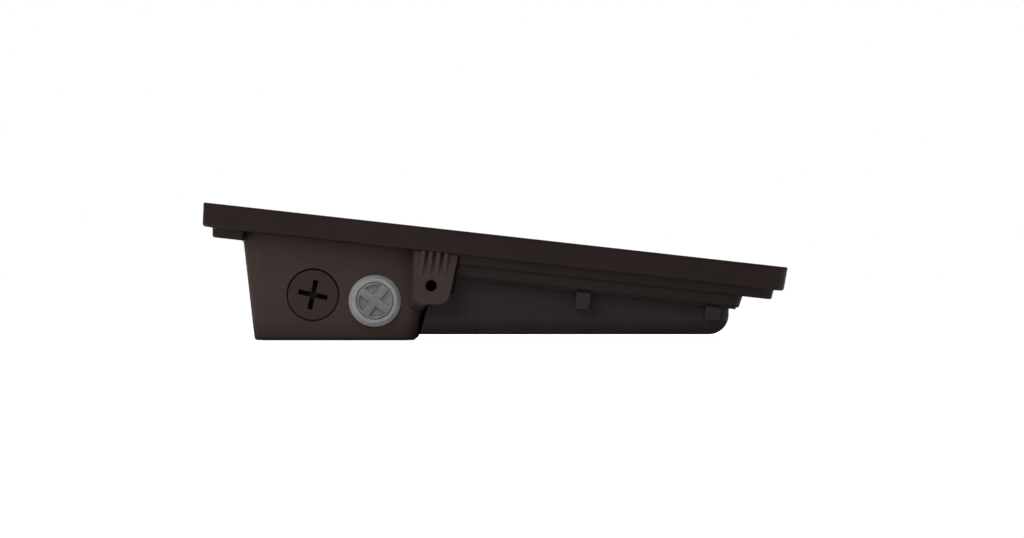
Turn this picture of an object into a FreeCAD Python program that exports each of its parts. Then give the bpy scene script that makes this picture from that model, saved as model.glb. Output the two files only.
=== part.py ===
import FreeCAD, Part
import math
import os
from FreeCAD import Placement, Rotation, Vector

# Slim wedge flood light: cast front frame, wiring box, driver cover, light board and wiring, in mm.
# The wall is the plane Z = 0, X runs from the thick end to the thin end, Z points away from the wall.

# Front plate
tilt = 6.36
datum_z = 44.8
rim_left = 60.6
rim_right = 204.2
rim_half = 117.5
rim_draft = 0.7
rim_corner = 7.0
rim_fillet = 1.4
face_fillet = 0.5
pad_inset = 5.2
pad_h = 4.4
pad_corner = 4.0
pad_draft = 0.45
pad_fillet = 1.2
pad_cove = 0.9
seam = 0.05
floor_top = 2.5

# Light face, stacked from the chamber floor to the rim front
board_t = 1.6
chip_h = 0.7
lens_air = 1.2
lens_gasket_t = 0.8
lens_t = 2.8
retainer_t = 1.2
window_inset = 12.0
lens_inset = 8.0
retainer_inset = 3.0
window_corner = 4.0
board_margin = 6.0
board_screw_inset = 5.0
reflector_lip = 1.5
chip_size = 3.5
chip_columns = 10
chip_rows = 8

# Seat of the driver cover under the plate
band_h = 5.4
band_draft = 1.2
band_inset = 8.0
band_end_inset = 18.7
band_corner = 6.0
band_fillet = 1.2
band_left_wall = 7.0
band_over = 4.2
cover_gasket_t = 0.8

# Driver cover
cover_foot = 2.65
cover_wall = 2.5
cover_round = 9.0
shadow_gap = 1.4
lug_out = 6.6
lug_w = 6.7
lug_h = 7.7
end_lug_h = 6.2
lug_round = 0.8
lug_sink = 0.5
lug_pitch = 58.6
lug_end = 12.7
band_lip = 0.9
hook_w = 12.0
hook_t = 2.0
hook_reach = 3.0
hook_h = 2.4
hook_v = 60.0
stop_v = 85.0
stop_w = 10.0
stop_play = 0.1

# Drilled ears on the corners of the wiring box
ear_left = 34.2
ear_w = 22.0
ear_foot = 16.2
ear_lean = 2.2
ear_round = 5.0
ear_inset = 3.0
ear_gap = 1.2
ear_edge = 2.2
ear_spread = 1.5
ear_heel = 2.5
ear_blend = 10.0
ear_heel_round = 4.0
ear_fillet = 0.8
ear_groove_w = 1.1
ear_groove_deep = 1.4
ear_groove_len = 7.2
pivot_u = 45.5
pivot_w = 15.2
pivot_r = 2.5
pivot_edge = 0.5
rib_count = 4
rib_pitch = 3.46
rib_w = 2.2
rib_round = 0.9
rib_len = 12.0
rib_root = 1.0
rib_head = 1.6

# Wiring box
box_foot = 0.1
box_left = -36.3
box_right = 36.2
box_lean_left = 6.36
box_lean_right = 15.5
box_draft = 3.0
box_inset = 12.0
box_wall = 3.0
box_corner = 7.0
box_foot_round = 1.6
box_gasket_t = 0.8
box_flange_t = 3.2
box_flange_w = 9.0
box_cove = 1.35
spigot_gap = 0.4

# Back plate of the box
plate_t = 2.5
plate_gap = 0.4
plate_seal_t = 1.5
ledge_t = 4.0
ledge_w = 8.0
wire_hole_r = 11.0
outlet_spacing = 88.9
outlet_hole_r = 2.3

# Conduit entries, plugs and photocell cap
plug_x = -9.9
plug_z = 20.6
photocell_x = 18.0
photocell_z = 17.9
thread_r = 10.25
thread_fit = 0.05
head_r = 11.5
head_t = 3.0
head_gap = 0.4
head_edge = 0.4
plug_len = 9.0
plug_hollow_r = 7.5
plug_cap_t = 4.5
plug_seal_t = 1.2
seal_edge = 0.4
slot_len = 13.4
slot_w = 2.2
slot_deep = 3.2
slot_turn = 12.0
boss_r = 14.5
boss_len = 13.0
cap_r = 11.8
cap_proud = 1.9
cap_bevel = 1.8
cap_groove_r = 8.3
cap_groove_w = 0.5
cap_groove_deep = 0.9
cap_disc_r = 7.3
cap_arm_w = 3.4
cap_pocket_deep = 1.3
cap_turn = 54.0
cap_hollow_r = 8.6
sensor_r = 6.5
sensor_len = 15.0
sensor_flange_r = 14.0
sensor_flange_t = 2.0
sensor_screw_ring = 12.2

# Driver, terminal block and wiring
driver_offset = 27.0
driver_w = 62.0
driver_half = 62.0
driver_h = 14.0
driver_corner = 3.0
tab_len = 11.0
tab_t = 2.0
block_left = -12.0
block_w = 22.0
block_half = 24.0
block_h = 11.0
block_tab = 8.0
block_tab_t = 3.0
pole_pitch = 9.5
lead_r = 1.0
lead_bend = 5.0
pole_deep = 4.0
grommet_z = 17.0
grommet_r = 5.0
grommet_bore = 3.4
grommet_lip = 2.0
grommet_lip_t = 1.5
lead_spread = 1.5
driver_lead_v = 6.0
led_hole_offset = 13.5
led_hole_v = 25.0
led_grommet_r = 3.5
led_lead_r = 0.6
led_lead_gap = 1.6
connector_w = 7.0
connector_l = 6.0
connector_h = 1.9
ground_u = 24.0
ground_v = 42.0

# Screws: shank radius, head radius and head height, with the slack of a shank in its hole
screw_slack = 0.05
small_screw = (1.25, 2.2, 1.2)
cover_screw = (1.5, 2.4, 2.0)
box_screw = (2.0, 3.6, 2.4)
plate_screw = (2.0, 3.8, 1.8)
cover_screw_len = 10.0
box_screw_len = 8.0
plate_screw_len = 8.0
small_screw_len = 5.0
screw_spread = 0.62
hole_spare = 0.5
seat_gap = 0.3

lean_in = math.tan(math.radians(box_lean_left))
lean_out = math.tan(math.radians(box_lean_right))
side_draft = math.tan(math.radians(box_draft))
chamber_h = board_t + chip_h + lens_air
rim_h = floor_top + chamber_h + lens_gasket_t + lens_t + retainer_t
lens_seat = floor_top + chamber_h
retainer_seat = rim_h - retainer_t
band_half = rim_half - band_inset
band_end = rim_right - band_end_inset
cover_half = band_half - lug_out - band_lip
box_half = rim_half - box_inset
ear_outer = rim_half - ear_inset
ear_inner = cover_half + ear_gap
ear_right = ear_left + ear_w
ear_corner = ear_right - ear_lean
cover_seat = pad_h + band_h + cover_gasket_t
box_seat = pad_h + box_gasket_t
flange_low = box_seat + box_flange_t
pocket_top = plate_t + plate_seal_t
wall_shift = shadow_gap / math.cos(math.radians(box_lean_right))
plate_place = Placement(Vector(0, 0, datum_z), Rotation(Vector(0, 1, 0), tilt))
far = 400.0


def on_plate(shape):
    # Moves a shape drawn in the plate's own frame to its place
    shape.Placement = plate_place.multiply(shape.Placement)
    return shape


def plate_point(u, v, w):
    return plate_place.multVec(Vector(u, v, w))


def wall_u(foot_x, slope, w):
    # Place along the plate where a box wall that leans by slope meets the height w
    turn = math.radians(tilt)
    start = foot_x - slope * box_foot
    z = (datum_z + w / math.cos(turn) - start * math.tan(turn)) / (1 + slope * math.tan(turn))
    x = start + slope * z
    return x * math.cos(turn) - (z - datum_z) * math.sin(turn)


def rounded_wire(x0, x1, half, corner, z):
    # Rectangle with round corners, symmetric in Y
    k = corner * (1 - math.sqrt(0.5))
    edges = []
    for sx, sy in ((1, -1), (1, 1), (-1, 1), (-1, -1)):
        x = x1 if sx > 0 else x0
        y = sy * half
        along_x = Vector(x - sx * corner, y, z)
        along_y = Vector(x, y - sy * corner, z)
        middle = Vector(x - sx * k, y - sy * k, z)
        first, last = (along_x, along_y) if sx * sy < 0 else (along_y, along_x)
        edges.append((first, middle, last))
    parts = []
    for i, (first, middle, last) in enumerate(edges):
        before = edges[i - 1][2]
        parts.append(Part.LineSegment(before, first).toShape())
        parts.append(Part.Arc(first, middle, last).toShape())
    return Part.Wire(parts)


def rounded_block(x0, x1, half, corner, z0, z1):
    face = Part.Face(rounded_wire(x0, x1, half, corner, z0))
    return face.extrude(Vector(0, 0, z1 - z0))


def rim_block(inset, corner, z0, z1):
    return rounded_block(inset - rim_left, rim_right - inset, rim_half - inset, corner, z0, z1)


def slab(x0, x1, y0, y1, z0, z1):
    return Part.makeBox(x1 - x0, y1 - y0, z1 - z0, Vector(x0, y0, z0))


def rod(radius, start, end):
    return Part.makeCylinder(radius, (end - start).Length, start, end - start)


def edges_at(shape, z):
    # Edges that lie at one height
    return [e for e in shape.Edges if all(abs(v.Z - z) < 0.001 for v in e.Vertexes)]


def pan_screw(size, length):
    # Round head above Z = 0, shank below
    shank_r, screw_head_r, screw_head_h = size
    head = Part.makeCylinder(screw_head_r, screw_head_h)
    shank = Part.makeCylinder(shank_r - screw_slack, length, Vector(0, 0, -length))
    return head.fuse(shank).removeSplitter()


def flat_screw(size, length):
    # Countersunk head with its top at Z = 0
    shank_r, screw_head_r, screw_head_h = size
    radius = shank_r - screw_slack
    head = Part.makeCone(radius, screw_head_r, screw_head_h, Vector(0, 0, -screw_head_h))
    shank = Part.makeCylinder(radius, length, Vector(0, 0, -length))
    return head.fuse(shank).removeSplitter()


def flat_hole(size, length):
    # Hole and countersink for a flat_screw
    shank_r, screw_head_r, screw_head_h = size
    cone = Part.makeCone(shank_r, screw_head_r + screw_slack, screw_head_h, Vector(0, 0, -screw_head_h))
    return cone.fuse(Part.makeCylinder(shank_r, length, Vector(0, 0, -length)))


def upside(shape, u, v, w):
    # Turns a screw or hole to point up and puts its seat at a place on the plate
    shape.Placement = Placement(Vector(u, v, w), Rotation(Vector(1, 0, 0), 180))
    return shape


def at(shape, x, y, z):
    shape.translate(Vector(x, y, z))
    return shape


def lead(points, radius, bend):
    # Insulated wire along straight runs joined by arcs
    edges = []
    last = points[0]
    for before, corner, after in zip(points, points[1:], points[2:]):
        into = (corner - before).normalize()
        out = (after - corner).normalize()
        turn = into.getAngle(out)
        reach = bend * math.tan(turn / 2)
        start = corner - into * reach
        end = corner + out * reach
        inward = (out - into).normalize()
        middle = corner + inward * (bend / math.cos(turn / 2) - bend)
        edges.append(Part.LineSegment(last, start).toShape())
        edges.append(Part.Arc(start, middle, end).toShape())
        last = end
    edges.append(Part.LineSegment(last, points[-1]).toShape())
    path = Part.Wire(edges)
    ring = Part.Wire(Part.makeCircle(radius, points[0], points[1] - points[0]))
    return path.makePipeShell([ring], True, False)


def save(shape, node):
    shape.exportStep("parts/" + node + ".step")


def wall_half(z):
    # Half width of the box over its side walls at one height
    return box_half - (datum_z - z) * side_draft


def box_wire(z, inset):
    rise = z - box_foot
    x0 = box_left - rise * lean_in + inset
    x1 = box_right + rise * lean_out - inset
    return rounded_wire(x0, x1, wall_half(z) - inset, box_corner - inset, z)


def box_block(inset, z0, z1):
    return Part.makeLoft([box_wire(z0, inset), box_wire(z1, inset)], True, True)


def above_plate(w):
    return on_plate(slab(-far, far, -far, far, w, far))


def ear_low(u):
    # Height in the plate's frame of the ears' lower edge, which is level with the wall
    turn = math.radians(tilt)
    return (ear_foot - datum_z + u * math.sin(turn)) / math.cos(turn)


def ear_side(w):
    # Right edge of the ears at one height in the plate's frame
    return ear_right - ear_lean * w / ear_low(ear_corner)


def ear_space(u, v, w0, w1):
    # Room from v outwards for the box and an ear, up to the leaning side of the ear
    points = [
        Vector(u, v, w0),
        Vector(ear_side(w0) + seat_gap, v, w0),
        Vector(ear_side(w1) + seat_gap, v, w1),
        Vector(u, v, w1),
    ]
    return Part.Face(Part.makePolygon(points + points[:1])).extrude(Vector(0, far, 0))


def other_side(shape):
    return shape.mirror(Vector(0, 0, 0), Vector(0, 1, 0))


def rib_bar(u, profile):
    # One rib of an ear from its side profile, rounded along its crest
    points = [Vector(u, v, w) for v, w in profile]
    bar = Part.Face(Part.makePolygon(points + points[:1])).extrude(Vector(rib_w, 0, 0))
    crest = [e for e in bar.Edges if all(p.Y > ear_outer - seam for p in e.Vertexes)]
    crest = [e for e in crest if abs(e.Vertexes[0].X - e.Vertexes[1].X) < seam]
    return bar.makeFillet(rib_round, crest)


# Places that several pieces share, in the plate's frame
seat_left = wall_u(box_right + wall_shift, lean_out, -pad_h - band_h)
cavity_left = seat_left + band_left_wall
cavity_half = cover_half - cover_wall - band_lip
cover_end = band_end - band_draft - band_over
cavity_end = cover_end - cover_wall - band_lip
lug_v = cover_half + lug_out / 2
lug_rows = ((lug_end, end_lug_h), (lug_end + lug_pitch, lug_h))
lug_places = [(band_end - d, side * lug_v, h) for d, h in lug_rows for side in (-1, 1)]
opening_left = wall_u(box_left + box_wall, -lean_in, -box_seat) + box_flange_w
opening_right = wall_u(box_right - box_wall, lean_out, -flange_low) - box_flange_w
opening_half = box_half - box_wall - box_flange_w
box_screw_in = box_screw[1] + seat_gap
box_screw_u = (opening_left - box_screw_in, opening_right + box_screw_in)
box_screw_places = [(u, side * opening_half * screw_spread) for u in box_screw_u for side in (-1, 1)]
corner_left = wall_u(box_left, -lean_in, -pad_h)
board_inset = window_inset + board_margin
board_u0 = board_inset - rim_left
board_u1 = rim_right - board_inset
board_half = rim_half - board_inset
board_screw_places = [
    (u, side * (board_half - board_screw_inset))
    for u in (board_u0 + board_screw_inset, (board_u0 + board_u1) / 2, board_u1 - board_screw_inset)
    for side in (-1, 1)
]
retainer_screw_inset = (retainer_inset + lens_inset) / 2
retainer_u = (retainer_screw_inset - rim_left, rim_right - retainer_screw_inset)
retainer_v = rim_half - retainer_screw_inset
retainer_mid = (retainer_u[0] + retainer_u[1]) / 2
retainer_span = (retainer_u[1] - retainer_u[0]) / 3
retainer_screw_places = [
    (retainer_mid + step * retainer_span, side * retainer_v) for step in (-1, 0, 1) for side in (-1, 1)
] + [(u, side * retainer_v / 2) for u in retainer_u for side in (-1, 1)]
driver_u0 = cavity_left + driver_offset
driver_u1 = driver_u0 + driver_w
driver_tab_v = driver_half + tab_len / 2
driver_mid = (driver_u0 + driver_u1) / 2
driver_screw_places = [(driver_mid, side * driver_tab_v) for side in (-1, 1)]
block_right = block_left + block_w
block_screw_v = block_half + block_tab / 2
block_mid = (block_left + block_right) / 2
block_screw_places = [(block_mid, side * block_screw_v) for side in (-1, 1)]
pole_w = -pad_h - block_h / 2
led_u = cavity_left + led_hole_offset
tapped_deep = small_screw_len + hole_spare

os.makedirs("parts", exist_ok=True)

# Front frame: one casting of rim, stepped underside, cover seat and rib heads
rim_low = rounded_wire(rim_draft - rim_left, rim_right - rim_draft, rim_half - rim_draft, rim_corner, 0)
rim_top = rounded_wire(-rim_left, rim_right, rim_half, rim_corner, rim_h)
frame = Part.makeLoft([rim_low, rim_top], True, True)
frame = frame.makeFillet(rim_fillet, edges_at(frame, 0))
frame = frame.makeFillet(face_fillet, edges_at(frame, rim_h))
pad_u0 = pad_inset - rim_left
pad_u1 = rim_right - pad_inset
pad_half = rim_half - pad_inset
pad_low = rounded_wire(pad_u0 + pad_draft, pad_u1 - pad_draft, pad_half - pad_draft, pad_corner, -pad_h)
pad_top = rounded_wire(pad_u0, pad_u1, pad_half, pad_corner, 0)
pad = Part.makeLoft([pad_low, pad_top], True, True)
frame = frame.fuse(pad.makeFillet(pad_fillet, edges_at(pad, -pad_h)))
pad_edges = [e for e in edges_at(frame, 0) if abs(e.CenterOfMass.y) < pad_half + seam]
pad_edges = [e for e in pad_edges if pad_u0 - seam < e.CenterOfMass.x < pad_u1 + seam]
frame = frame.makeFillet(pad_cove, pad_edges)
spigot_half = box_half - box_wall - spigot_gap
notch = ear_space(corner_left - seat_gap, spigot_half, -pad_h, 0)
frame = frame.cut([notch, other_side(notch)])
band_bottom = -pad_h - band_h
band_low = rounded_wire(
    ear_left, band_end - band_draft, band_half - band_draft, band_corner, band_bottom
)
band_top = rounded_wire(ear_left, band_end, band_half, band_corner, -pad_h)
band = Part.makeLoft([band_low, band_top], True, True)
band = band.makeFillet(band_fillet, edges_at(band, band_bottom))
band = band.cut(rounded_block(cavity_left, cavity_end, cavity_half, band_corner, band_bottom, -pad_h))
gap_x = box_right + wall_shift
gap_foot = Vector(gap_x, -far, box_foot)
gap_head = Vector(gap_x + far * lean_out, -far, box_foot + far)
left_far = Vector(-2 * far, 0, 0)
left_profile = Part.makePolygon([gap_foot, gap_head, gap_head + left_far, gap_foot + left_far, gap_foot])
left_space = Part.Face(left_profile).extrude(Vector(0, 2 * far, 0))
plate_inverse = plate_place.inverse()
left_space_flat = left_space.copy()
left_space_flat.Placement = plate_inverse.multiply(left_space_flat.Placement)
band = band.cut(left_space_flat)
hook_pocket_w = hook_h + 2 * seat_gap
hook_low = -pad_h - band_h + (band_h - hook_h) / 2
for side in (-1, 1):
    v = side * hook_v
    band = band.cut(
        slab(
            cavity_left - hook_reach - seat_gap,
            cavity_left + 1,
            v - hook_w / 2 - seat_gap,
            v + hook_w / 2 + seat_gap,
            hook_low - seat_gap,
            hook_low - seat_gap + hook_pocket_w,
        )
    )
notch = ear_space(-far, ear_inner - seat_gap, band_bottom, -pad_h)
frame = frame.fuse(band.cut([notch, other_side(notch)]))
rib_face = rim_half - rim_draft
rib_first = pivot_u - rib_pitch * (rib_count - 1) / 2
rib_places = [rib_first + i * rib_pitch - rib_w / 2 for i in range(rib_count)]
rib_back = ear_outer - rib_root
for u in rib_places:
    head = rib_bar(u, [(rib_back, rib_head), (rib_face, rib_head), (rib_face, 0), (rib_back, 0)])
    frame = frame.fuse([head, other_side(head)])
frame = frame.cut(
    [
        rim_block(window_inset, window_corner, floor_top, far),
        rim_block(lens_inset, window_corner + window_inset - lens_inset, lens_seat, far),
        rim_block(retainer_inset, window_corner + window_inset - retainer_inset, retainer_seat, far),
    ]
)
holes = []
for u, v in retainer_screw_places:
    holes.append(Part.makeCylinder(small_screw[0], tapped_deep, Vector(u, v, rim_h - tapped_deep)))
for u, v in board_screw_places:
    board_low = floor_top + board_t - tapped_deep
    holes.append(Part.makeCylinder(small_screw[0], tapped_deep, Vector(u, v, board_low)))
cover_deep = cover_screw_len + hole_spare
cover_head = -cover_seat + cover_screw[2] + lug_sink
for u, v, h in lug_places:
    holes.append(Part.makeCylinder(cover_screw[0], cover_deep, Vector(u, v, cover_head - h)))
for u, v in box_screw_places:
    holes.append(Part.makeCylinder(box_screw[0], box_screw_len + hole_spare, Vector(u, v, -flange_low)))
for u, v in driver_screw_places:
    holes.append(Part.makeCylinder(small_screw[0], tapped_deep, Vector(u, v, -pad_h - tab_t)))
for u, v in block_screw_places:
    holes.append(Part.makeCylinder(small_screw[0], tapped_deep, Vector(u, v, -pad_h - block_tab_t)))
holes.append(Part.makeCylinder(cover_screw[0], tapped_deep, Vector(ground_u, ground_v, -pad_h - 2 * lead_r)))
holes.append(Part.makeCylinder(led_grommet_r, far, Vector(led_u, led_hole_v, -pad_h - 1)))
frame = frame.cut(holes).removeSplitter()
save(on_plate(frame), "front_frame")

# Wiring box: drafted walls, flange to the frame, ledge for the back plate, threaded entries, ribbed ears
box_top = datum_z + rim_left * math.tan(math.radians(tilt)) + rim_h
shell = box_block(0, box_foot, box_top)
shell = shell.makeFillet(box_foot_round, edges_at(shell, box_foot))
inner = box_block(box_wall, box_foot - 1, box_top)
flange_slab = on_plate(slab(-far, far, -far, far, -flange_low, -box_seat))
ledge_slab = slab(-far, far, -far, far, pocket_top, pocket_top + ledge_t)
cavity = inner.cut([flange_slab, ledge_slab])
opening = on_plate(
    rounded_block(opening_left, opening_right, opening_half, window_corner, -flange_low - 1, -box_seat + 1)
)
ledge_opening = rounded_block(
    box_left + box_wall + ledge_w,
    box_right - box_wall - ledge_w,
    wall_half(box_foot) - box_wall - ledge_w,
    window_corner,
    pocket_top - 1,
    pocket_top + ledge_t + 1,
)
box = shell.cut([cavity, opening, ledge_opening])
plug_well = head_r + head_gap
cap_well = cap_r + thread_fit
entries = [
    (plug_x, plug_z, -1, plug_well),
    (photocell_x, photocell_z, -1, cap_well),
    (plug_x, plug_z, 1, plug_well),
]
pocket = box_block(box_wall, box_foot - 1, pocket_top)
for x, z, side, well_r in entries:
    boss = Part.makeCylinder(
        boss_r, boss_len - 1, Vector(x, side * (wall_half(z) - 1), z), Vector(0, -side, 0)
    )
    box = box.fuse(boss.common(box_block(0, box_foot, box_top)))
box = box.cut(pocket)
box_head = -pad_h - seam
left_edge = wall_u(box_left, -lean_in, box_head)
cove_corner = plate_point(left_edge, 0, box_head)
up_plate = plate_place.Rotation.multVec(Vector(-1, 0, 0))
down_wall = Vector(lean_in, 0, -1).normalize()
cove_half = up_plate.getAngle(down_wall) / 2
cove_leg = box_cove / math.tan(cove_half)
cove_axis = cove_corner + (up_plate + down_wall).normalize() * (box_cove / math.sin(cove_half))
cove_end = Vector(0, wall_half(cove_corner.z) - box_corner, 0)
cove_points = [cove_corner, cove_corner + up_plate * cove_leg, cove_corner + down_wall * cove_leg]
cove_ring = Part.makePolygon([p - cove_end for p in cove_points + cove_points[:1]])
cove = Part.Face(cove_ring).extrude(cove_end * 2)
box = box.fuse(cove.cut(rod(box_cove, cove_axis - cove_end, cove_axis + cove_end)))


def ear_outline(shift, drop, v):
    # Left edge, right edge and foot, with the heel that blends into the corner of the box
    knee = ear_left + ear_w / 2
    heel = ear_left + shift + ear_heel
    points = [
        Vector(ear_left + shift, v, -seam),
        Vector(ear_right, v, -seam),
        Vector(ear_corner, v, ear_low(ear_corner)),
        Vector(knee, v, ear_low(knee)),
        Vector(heel, v, ear_low(heel) - drop),
    ]
    return Part.makePolygon(points + points[:1])


ear_root = box_half - box_corner
ear_back = ear_outline(-ear_spread, ear_blend, ear_root)
ear_front = ear_outline(ear_edge, 0, ear_outer)
ear = Part.makeLoft([ear_back, ear_front], True, True)
corner_edges = [e for e in ear.Edges if all(abs(p.X - ear_corner) < seam for p in e.Vertexes)]
ear = ear.makeFillet(ear_round, corner_edges)
heel_line = Part.makeLine(ear_back.Vertexes[-1].Point, ear_front.Vertexes[-1].Point)
heel_edges = [e for e in ear.Edges if all(p.distToShape(heel_line)[0] < seam for p in e.Vertexes)]
ear = ear.makeFillet(ear_heel_round, heel_edges)
face_edges = [e for e in ear.Edges if all(abs(p.Y - ear_outer) < seam for p in e.Vertexes)]
face_edges = [e for e in face_edges if min(p.Z for p in e.Vertexes) < -2 * seam]
ear = ear.makeFillet(ear_fillet, face_edges)
for u in rib_places:
    rib = [(rib_back, -seam), (rib_face, -seam), (ear_outer, -rib_len), (rib_back, -rib_len)]
    ear = ear.fuse(rib_bar(u, rib))
pivot_start = Vector(pivot_u, ear_inner, -pivot_w)
pivot = rod(pivot_r, pivot_start, Vector(pivot_u, ear_outer, -pivot_w))
mouth_start = Vector(pivot_u, ear_outer - pivot_edge, -pivot_w)
pivot_mouth = Part.makeCone(pivot_r, pivot_r + pivot_edge, pivot_edge, mouth_start, Vector(0, 1, 0))
right_profile = [Vector(p.x - wall_shift, ear_root, p.z) for p in (gap_foot, gap_head)]
right_profile.append(right_profile[1] + Vector(far, 0, 0))
right_profile.append(right_profile[0] + Vector(far, 0, 0))
right_profile.append(right_profile[0])
over_cover = Part.Face(Part.makePolygon(right_profile)).extrude(Vector(0, ear_inner - ear_root, 0))
far_ear = on_plate(ear).cut([over_cover, inner])
box = box.fuse([far_ear, other_side(far_ear)])
far_pivot = on_plate(pivot.fuse(pivot_mouth))
box = box.cut([far_pivot, other_side(far_pivot)])
for x, z, side, well_r in entries:
    face = wall_half(z)
    inward = Vector(0, -side, 0)
    bore = Part.makeCylinder(thread_r, boss_len + 2, Vector(x, side * (face + 1), z), inward)
    well = Part.makeCylinder(well_r, head_t + plug_seal_t + 2, Vector(x, side * (face + 2), z), inward)
    box = box.cut([bore, well])
spigot_room = spigot_half + spigot_gap
outside = [
    slab(-far, corner_left, -far, far, box_head, far),
    slab(-far, corner_left + box_corner, -spigot_room, spigot_room, box_head, far),
    slab(ear_left - seat_gap, far, -spigot_room, spigot_room, box_head, far),
    slab(-far, far, -far, far, -seam, far),
]
box = box.cut([on_plate(piece) for piece in outside])
lean_dir = Vector(math.cos(math.radians(box_lean_right)), 0, -math.sin(math.radians(box_lean_right)))
grommet_mid = Vector(box_right + wall_shift / 2 + (grommet_z - box_foot) * lean_out, 0, grommet_z)
grommet_hole = rod(grommet_r, grommet_mid - lean_dir * 3 * box_wall, grommet_mid + lean_dir * 3 * box_wall)
box = box.cut(grommet_hole)
box_screw_holes = [
    on_plate(Part.makeCylinder(box_screw[0], 2 * box_flange_t, Vector(u, v, -flange_low - 1)))
    for u, v in box_screw_places
]
plate_x0 = box_left + box_wall + plate_gap
plate_x1 = box_right - box_wall - plate_gap
plate_half = wall_half(box_foot) - box_wall - plate_gap
plate_screw_inset = ledge_w / 2
plate_screw_places = [
    (x, side * plate_half * screw_spread)
    for x in (plate_x0 + plate_screw_inset, plate_x1 - plate_screw_inset)
    for side in (-1, 1)
]
plate_screw_holes = [
    Part.makeCylinder(plate_screw[0], plate_screw_len + hole_spare, Vector(x, y, 0))
    for x, y in plate_screw_places
]
sensor_face = wall_half(photocell_z) - boss_len
sensor_screw_places = [
    (photocell_x + side * sensor_screw_ring * math.cos(math.pi / 6), photocell_z + sensor_screw_ring / 2)
    for side in (-1, 1)
]
sensor_screw_y = sensor_flange_t - sensor_face
sensor_screw_holes = [
    Part.makeCylinder(small_screw[0], tapped_deep, Vector(x, sensor_screw_y, z), Vector(0, -1, 0))
    for x, z in sensor_screw_places
]
box = box.cut(box_screw_holes + plate_screw_holes + sensor_screw_holes).removeSplitter()
save(box, "wiring_box")

# Gasket between box flange and frame
gasket_half = box_half - box_wall - spigot_gap - seat_gap
box_gasket = rounded_block(
    opening_left - box_flange_w + seat_gap,
    wall_u(box_right - box_wall, lean_out, -box_seat) - seat_gap,
    gasket_half,
    window_corner,
    -box_seat,
    -pad_h,
)
box_gasket = box_gasket.cut(
    rounded_block(opening_left, opening_right, opening_half, window_corner, -box_seat, -pad_h)
)
for u, v in box_screw_places:
    box_gasket = box_gasket.cut(Part.makeCylinder(box_screw[0], far, Vector(u, v, -far / 2)))
save(on_plate(box_gasket), "wiring_box_gasket")
box_screws = [upside(pan_screw(box_screw, box_screw_len), u, v, -flange_low) for u, v in box_screw_places]
save(Part.makeCompound([on_plate(screw) for screw in box_screws]), "wiring_box_screws")

# Back plate, seal and screws: they close the box on the wall side
back = rounded_block(plate_x0, plate_x1, plate_half, window_corner, 0, plate_t)
back = back.cut(Part.makeCylinder(wire_hole_r, plate_t))
for side in (-1, 1):
    back = back.cut(Part.makeCylinder(outlet_hole_r, plate_t, Vector(0, side * outlet_spacing / 2, 0)))
for x, y in plate_screw_places:
    sink = flat_hole(plate_screw, plate_screw_len)
    sink.Placement = Placement(Vector(x, y, 0), Rotation(Vector(1, 0, 0), 180))
    back = back.cut(sink)
save(back, "back_plate")
seal = rounded_block(plate_x0, plate_x1, plate_half, window_corner, plate_t, pocket_top)
seal = seal.cut(
    rounded_block(
        plate_x0 + ledge_w, plate_x1 - ledge_w, plate_half - ledge_w, window_corner, plate_t, pocket_top
    )
)
seal = seal.cut(plate_screw_holes)
save(seal, "back_plate_seal")
back_screws = []
for x, y in plate_screw_places:
    screw = flat_screw(plate_screw, plate_screw_len)
    screw.Placement = Placement(Vector(x, y, 0), Rotation(Vector(1, 0, 0), 180))
    back_screws.append(screw)
save(Part.makeCompound(back_screws), "back_plate_screws")

# Driver cover: rounded hump with screw lugs at the sides and two hooks at the box end
cover_x1 = plate_point(cover_end, 0, -cover_seat).x
cover_top = datum_z


def hump(shrink, radius):
    # The hump's body, shrunk evenly for its inner face
    shift = shrink / math.cos(math.radians(box_lean_right))
    foot_x = box_right + wall_shift + shift + (cover_foot + shrink - box_foot) * lean_out
    head_x = box_right + wall_shift + shift + (cover_top - box_foot) * lean_out
    half = cover_half - shrink
    points = [
        Vector(foot_x, -half, cover_foot + shrink),
        Vector(cover_x1 - shrink, -half, cover_foot + shrink),
        Vector(cover_x1 - shrink, -half, cover_top),
        Vector(head_x, -half, cover_top),
        Vector(foot_x, -half, cover_foot + shrink),
    ]
    block = Part.Face(Part.makePolygon(points)).extrude(Vector(0, 2 * half, 0))
    rounds = []
    for edge in block.Edges:
        middle = edge.CenterOfMass
        low = abs(middle.z - cover_foot - shrink) < 0.001
        end = abs(middle.x - cover_x1 + shrink) < 0.001
        side = abs(abs(middle.y) - half) < 0.001
        if (low and side) or (low and end) or (end and side):
            rounds.append(edge)
    return block.makeFillet(radius, rounds)


cover = hump(0, cover_round)
for u, v, h in lug_places:
    side = math.copysign(1, v)
    v0, v1 = sorted((side * (cover_half - cover_wall / 2), side * (cover_half + lug_out)))
    lug_foot = -cover_seat - h
    lug = slab(u - lug_w / 2, u + lug_w / 2, v0, v1, lug_foot, 0)
    corners = [e for e in lug.Edges if abs(e.CenterOfMass.y) > cover_half and e.CenterOfMass.z < 0]
    foot_edges = [e for e in corners if abs(e.CenterOfMass.z - lug_foot) < 0.001]
    side_edges = [e for e in corners if lug_foot + 0.001 < e.CenterOfMass.z and abs(e.CenterOfMass.y) > lug_v]
    cover = cover.fuse(on_plate(lug.makeFillet(lug_round, foot_edges + side_edges)))
stop_points = []
for z, reach in ((cover_foot, (wall_shift, stop_play)), (cover_top, (stop_play, wall_shift))):
    for x in reach:
        stop_points.append(Vector(box_right + x + (z - box_foot) * lean_out, -stop_w / 2, z))
stop_rib = Part.Face(Part.makePolygon(stop_points + stop_points[:1])).extrude(Vector(0, stop_w, 0))
cover = cover.fuse([at(stop_rib.copy(), 0, side * stop_v, 0) for side in (-1, 1)])
cover = cover.cut([hump(cover_wall, cover_round - cover_wall), above_plate(-cover_seat)])
hook_u = cavity_left + seat_gap
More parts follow.
